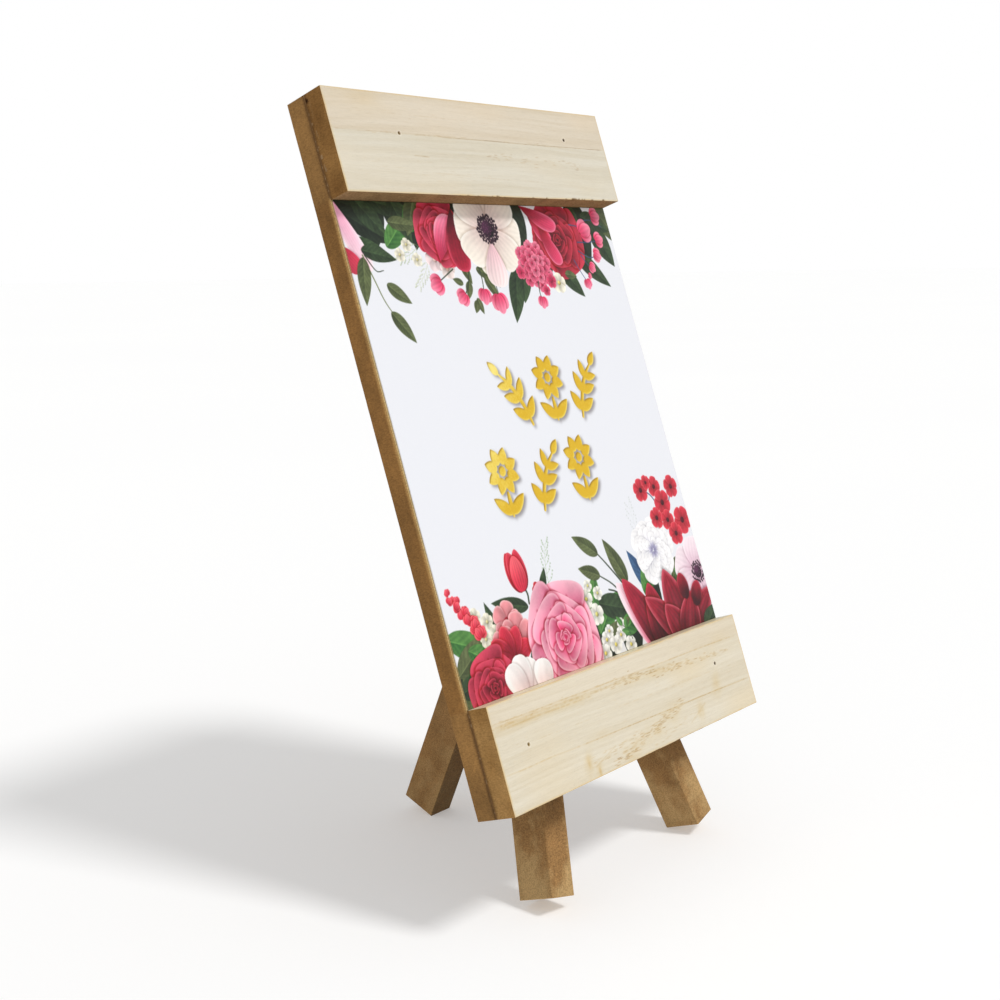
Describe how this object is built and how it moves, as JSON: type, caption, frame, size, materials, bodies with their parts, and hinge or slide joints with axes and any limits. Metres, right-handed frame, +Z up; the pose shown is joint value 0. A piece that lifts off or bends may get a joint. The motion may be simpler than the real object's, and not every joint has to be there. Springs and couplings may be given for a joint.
{
  "type": "tabletop easel plaque",
  "caption": "Small wooden plaque with a printed floral sheet between nailed pale wood bars, standing on splayed front legs and a folding rear leg.",
  "frame": {"origin": "centre of the object's box at the surface it stands on", "axes": "+X to the viewer's right, the printed front faces -Y leaning back, +Z up"},
  "size_m": [0.17, 0.1265, 0.3059],
  "materials": {
    "pale_wood": "planed, bare",
    "brown_board": "stained fibreboard, matt",
    "leg_wood": "stained fibreboard, matt",
    "print": "printed film, satin gloss",
    "zinc_steel": "bright zinc",
    "brad_steel": "dark, slightly tarnished",
    "nylon": "natural nylon"
  },
  "bodies": {
    "easel": {"back_board": "brown_board", "print_sheet": "print", "top_bar": "pale_wood", "bottom_bar": "pale_wood", "brad_top_left": "brad_steel", "brad_top_right": "brad_steel", "brad_bottom_left": "brad_steel", "brad_bottom_right": "brad_steel", "front_leg_left": "leg_wood", "front_leg_right": "leg_wood", "leg_screw_left_upper": "zinc_steel", "leg_screw_left_lower": "zinc_steel", "leg_screw_right_upper": "zinc_steel", "leg_screw_right_lower": "zinc_steel", "pivot_bolt": "zinc_steel", "pivot_nut": "zinc_steel", "outer_washer_left": "zinc_steel", "outer_washer_right": "zinc_steel", "spacer_washer_left": "nylon", "spacer_washer_right": "nylon"},
    "rear_leg": {"rear_leg": "leg_wood"}
  },
  "joints": [
    {"name": "rear_leg_fold", "type": "hinge", "parent": "easel", "child": "rear_leg", "pos_m": [0, -0.00426, 0.14238], "axis": [-1, 0, 0], "range_deg": [0, 41.7]}
  ]
}
